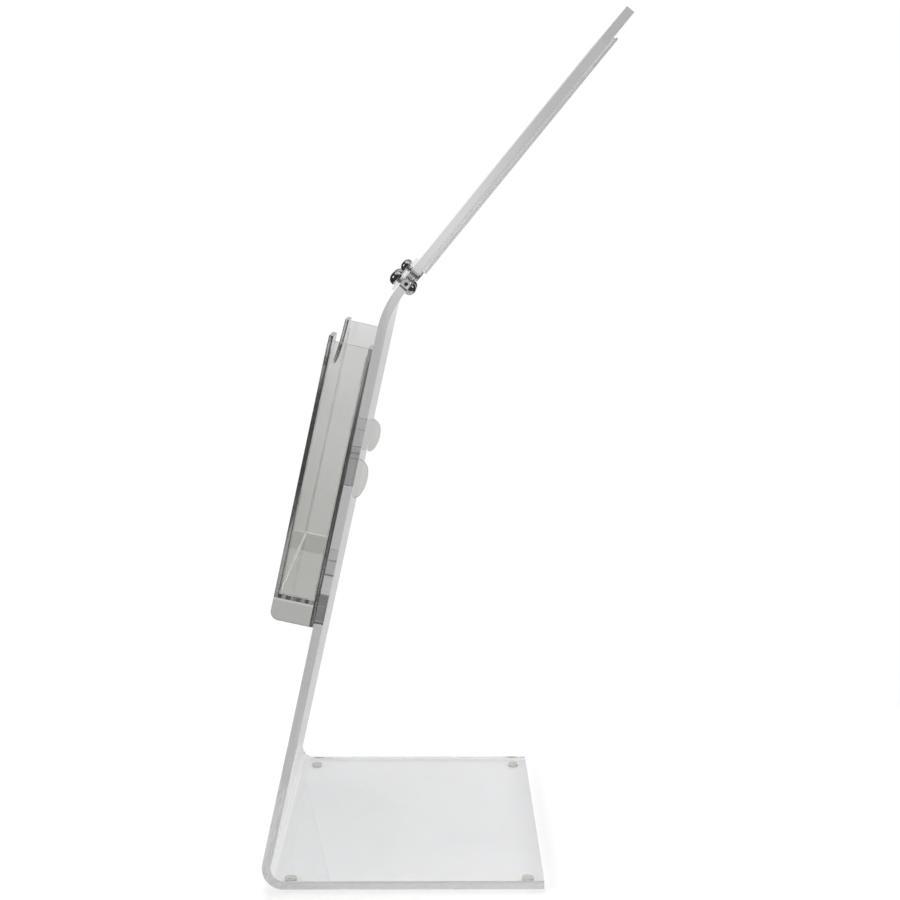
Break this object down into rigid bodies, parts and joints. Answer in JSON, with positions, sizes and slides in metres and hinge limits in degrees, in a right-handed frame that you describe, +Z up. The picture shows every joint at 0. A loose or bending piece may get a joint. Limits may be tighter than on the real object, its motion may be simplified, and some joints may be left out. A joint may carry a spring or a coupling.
{
  "type": "portable drawing board",
  "caption": "Clear acrylic table stand: a bent base and stem, a friction-hinged board that tilts, and a literature pocket that hooks on and lifts off.",
  "frame": {"origin": "middle of the bounding box at the table surface under the feet", "axes": "+Z up, +X away from the user (the board leans back that way), +Y to the user's left"},
  "size_m": [0.2436, 0.254, 0.586],
  "materials": {
    "clear_acrylic": "clear, polished",
    "pocket_acrylic": "clear, polished, slightly grey",
    "chrome": "polished",
    "bumper": "clear soft plastic, slightly yellowed",
    "bond_tape": "translucent foam tape"
  },
  "bodies": {
    "stand": {"stand_sheet": "clear_acrylic", "foot_front_right": "bumper", "foot_front_left": "bumper", "foot_rear_right": "bumper", "foot_rear_left": "bumper", "stem_hinge_leaf": "clear_acrylic", "hinge_spacer_right": "clear_acrylic", "hinge_spacer_left": "clear_acrylic", "hinge_pin": "chrome", "stem_screw_right": "chrome", "stem_screw_left": "chrome", "stem_front_washer_right": "chrome", "stem_front_washer_left": "chrome", "stem_rear_washer_right": "chrome", "stem_rear_washer_left": "chrome", "stem_nut_right": "chrome", "stem_nut_left": "chrome"},
    "board": {"board_screw_right": "chrome", "board_screw_left": "chrome", "board_front_washer_right": "chrome", "board_front_washer_left": "chrome", "board_rear_washer_right": "chrome", "board_rear_washer_left": "chrome", "board_nut_right": "chrome", "board_nut_left": "chrome", "board_panel": "clear_acrylic", "rear_cover_sheet": "clear_acrylic", "board_hinge_leaf": "clear_acrylic", "cover_bond_strip_right": "bond_tape", "cover_bond_strip_left": "bond_tape"},
    "pocket": {"pocket_cheek_right": "pocket_acrylic", "pocket_cheek_left": "pocket_acrylic", "pocket_back": "pocket_acrylic", "pocket_front": "pocket_acrylic", "pocket_floor": "pocket_acrylic"}
  },
  "joints": [
    {"name": "board_tilt", "type": "hinge", "parent": "stand", "child": "board", "pos_m": [-0.02234, 0, 0.4121], "axis": [0, 1, 0], "range_deg": [-25, 45]},
    {"name": "pocket_lift", "type": "slide", "parent": "stand", "child": "pocket", "axis": [0.2164, 0, 0.9763], "range_m": [0, 0.0085]}
  ]
}
